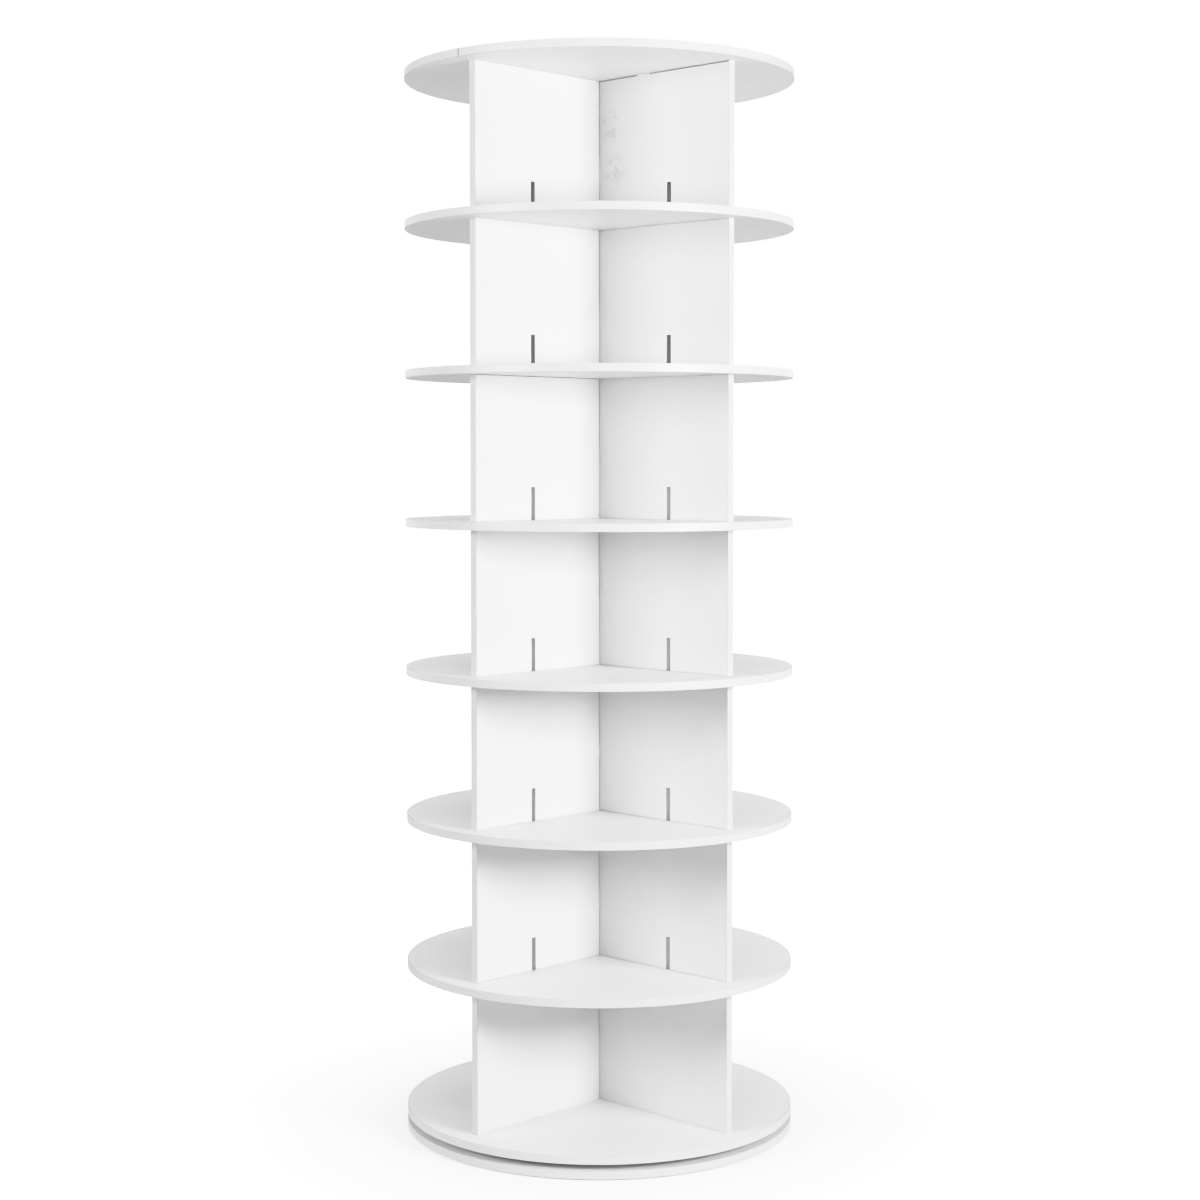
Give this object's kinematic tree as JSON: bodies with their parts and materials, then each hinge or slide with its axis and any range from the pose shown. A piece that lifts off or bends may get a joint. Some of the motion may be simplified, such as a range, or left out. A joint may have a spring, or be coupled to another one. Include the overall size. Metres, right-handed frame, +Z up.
{
  "type": "rotating shoe tower",
  "caption": "Tall round shoe tower: open quarter compartments between round shelves, on a ball-bearing swivel.",
  "frame": {"origin": "centre of the foot ring's underside, on the floor and on the tower's axis", "axes": "+Z up along the tower's axis; the cross panels run along X and Y, so a compartment faces each diagonal"},
  "size_m": [0.6, 0.6, 1.6315],
  "materials": {
    "laminate": "white satin melamine laminate",
    "bearing_ring": "turned",
    "bearing_balls": "polished",
    "screw": "zinc plated",
    "anti_slip": "matt white foamed rubber"
  },
  "bodies": {
    "base": {"foot_ring": "anti_slip", "base_disc": "laminate", "bearing_fixed_ring": "bearing_ring"},
    "cage": {"ball_cage": "bearing_balls"},
    "tower": {"bearing_turning_ring": "bearing_ring", "turntable_shelf": "laminate", "shelf_2": "laminate", "shelf_3": "laminate", "shelf_4": "laminate", "shelf_5": "laminate", "shelf_6": "laminate", "shelf_7": "laminate", "top_shelf": "laminate", "tier_1_panel_x": "laminate", "tier_1_panel_y": "laminate", "tier_2_panel_x": "laminate", "tier_2_panel_y": "laminate", "tier_3_panel_x": "laminate", "tier_3_panel_y": "laminate", "tier_4_panel_x": "laminate", "tier_4_panel_y": "laminate", "tier_5_panel_x": "laminate", "tier_5_panel_y": "laminate", "tier_6_panel_x": "laminate", "tier_6_panel_y": "laminate", "tier_7_panel_x": "laminate", "tier_7_panel_y": "laminate", "turntable_screw_1": "screw", "turntable_screw_2": "screw", "turntable_screw_3": "screw", "turntable_screw_4": "screw", "shelf_2_screw_1": "screw", "shelf_2_screw_2": "screw", "shelf_2_screw_3": "screw", "shelf_2_screw_4": "screw", "shelf_3_screw_1": "screw", "shelf_3_screw_2": "screw", "shelf_3_screw_3": "screw", "shelf_3_screw_4": "screw", "shelf_4_screw_1": "screw", "shelf_4_screw_2": "screw", "shelf_4_screw_3": "screw", "shelf_4_screw_4": "screw", "shelf_5_screw_1": "screw", "shelf_5_screw_2": "screw", "shelf_5_screw_3": "screw", "shelf_5_screw_4": "screw", "shelf_6_screw_1": "screw", "shelf_6_screw_2": "screw", "shelf_6_screw_3": "screw", "shelf_6_screw_4": "screw", "shelf_7_screw_1": "screw", "shelf_7_screw_2": "screw", "shelf_7_screw_3": "screw", "shelf_7_screw_4": "screw", "top_screw_1": "screw", "top_screw_2": "screw", "top_screw_3": "screw", "top_screw_4": "screw"}
  },
  "joints": [
    {"name": "tower_spin", "type": "hinge", "parent": "base", "child": "tower", "pos_m": [0, 0, 0.014], "axis": [0, 0, 1], "continuous": true},
    {"name": "cage_spin", "type": "hinge", "parent": "base", "child": "cage", "pos_m": [0, 0, 0.014], "axis": [0, 0, 1], "continuous": true}
  ],
  "couplings": [
    {"joint": "cage_spin", "follows": "tower_spin", "ratio": 0.4833}
  ]
}
